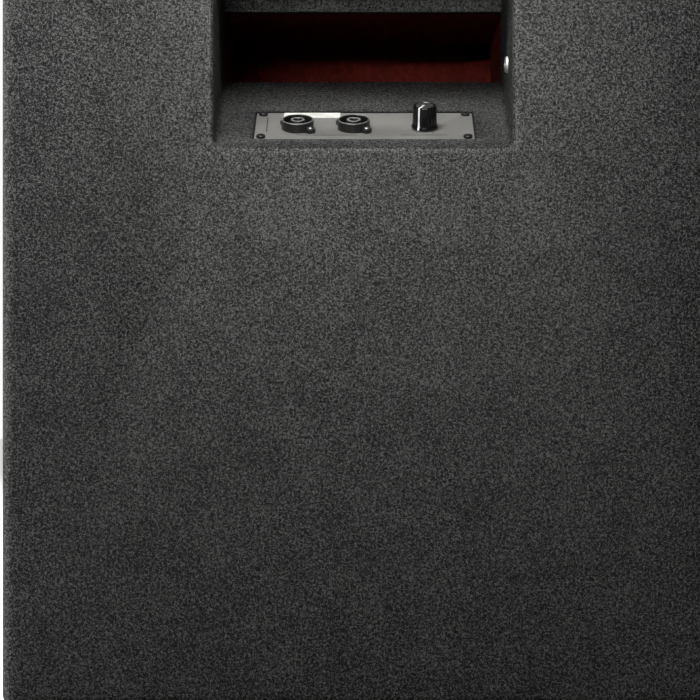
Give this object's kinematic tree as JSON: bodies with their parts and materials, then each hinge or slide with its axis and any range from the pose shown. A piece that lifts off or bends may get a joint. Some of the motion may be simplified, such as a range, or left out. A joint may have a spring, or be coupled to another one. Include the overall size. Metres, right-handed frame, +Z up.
{
  "type": "powered subwoofer",
  "caption": "Large box subwoofer in a sprayed textured coating, with a recessed sloping connection shelf, a rear port slot, a front grille and a long-throw driver.",
  "frame": {"origin": "on the floor, in the middle of the cabinet's footprint, at the feet's lowest plane", "axes": "+Z up; +Y out of the rear face that holds the connection recess; -Y out of the grille; +X towards the left hand of someone who looks at the rear face"},
  "size_m": [0.586, 0.6, 0.692],
  "materials": {
    "coating": "sprayed, coarse orange-peel texture",
    "plywood": "bare, stained dark in the port",
    "black_metal": "satin black powder coat",
    "plate_grey": "satin warm grey",
    "black_plastic": "moulded, satin",
    "gloss_black": "glossy",
    "rubber": "matte",
    "foam": "open-cell acoustic foam",
    "spider_cloth": "resin-treated cloth",
    "cone_paper": "treated paper pulp",
    "ferrite": "ground ferrite",
    "zinc_steel": "bright zinc plate",
    "copper": "enamelled copper wire",
    "aluminium": "extruded",
    "board_green": "lacquered circuit board",
    "label_white": "blank printed film"
  },
  "bodies": {
    "cabinet": {"cabinet_coating": "coating", "left_panel": "plywood", "right_panel": "plywood", "top_panel": "plywood", "bottom_panel": "plywood", "rear_panel": "plywood", "front_baffle": "plywood", "recess_left_wall": "plywood", "recess_right_wall": "plywood", "recess_shelf": "plywood", "recess_ceiling": "plywood", "recess_rear_board": "plywood", "port_floor": "plywood", "port_roof": "plywood", "cabinet_brace": "plywood", "recess_wall_bolt": "zinc_steel", "foot_1": "rubber", "foot_2": "rubber", "foot_3": "rubber", "foot_4": "rubber", "front_grille": "black_metal", "grille_foam": "foam", "grille_batten_left": "plywood", "grille_batten_right": "plywood", "grille_screw_1": "black_metal", "grille_screw_2": "black_metal", "grille_screw_3": "black_metal", "grille_screw_4": "black_metal", "driver_basket": "black_metal", "driver_gasket": "rubber", "cone_surround": "rubber", "suspension_spider": "spider_cloth", "magnet_top_plate": "black_metal", "magnet_ring": "ferrite", "magnet_yoke": "black_metal", "driver_terminal": "black_plastic", "driver_bolt_1": "zinc_steel", "driver_bolt_2": "zinc_steel", "driver_bolt_3": "zinc_steel", "driver_bolt_4": "zinc_steel", "connection_plate": "plate_grey", "plate_gasket": "foam", "plate_screw_1": "black_metal", "plate_screw_2": "black_metal", "plate_screw_3": "black_metal", "plate_screw_4": "black_metal", "blank_label": "label_white", "input_socket": "black_plastic", "input_socket_insert": "black_plastic", "link_socket": "black_plastic", "link_socket_insert": "black_plastic", "level_potentiometer": "zinc_steel", "amplifier_board": "board_green", "heat_sink": "aluminium", "speaker_lead": "rubber"},
    "cone": {"speaker_cone": "cone_paper", "dust_cap": "cone_paper", "voice_coil": "copper"},
    "knob": {"level_knob": "gloss_black", "potentiometer_shaft": "zinc_steel"}
  },
  "joints": [
    {"name": "level_turn", "type": "hinge", "parent": "cabinet", "child": "knob", "pos_m": [-0.0511, 0.24969, 0.48623], "axis": [0, -0.4056, -0.914], "range_deg": [0, 300]},
    {"name": "cone_travel", "type": "slide", "parent": "cabinet", "child": "cone", "axis": [0, -1, 0], "range_m": [-0.008, 0.008], "stiffness_N_per_m": 5000, "deforming": ["cone_surround", "suspension_spider"]}
  ]
}
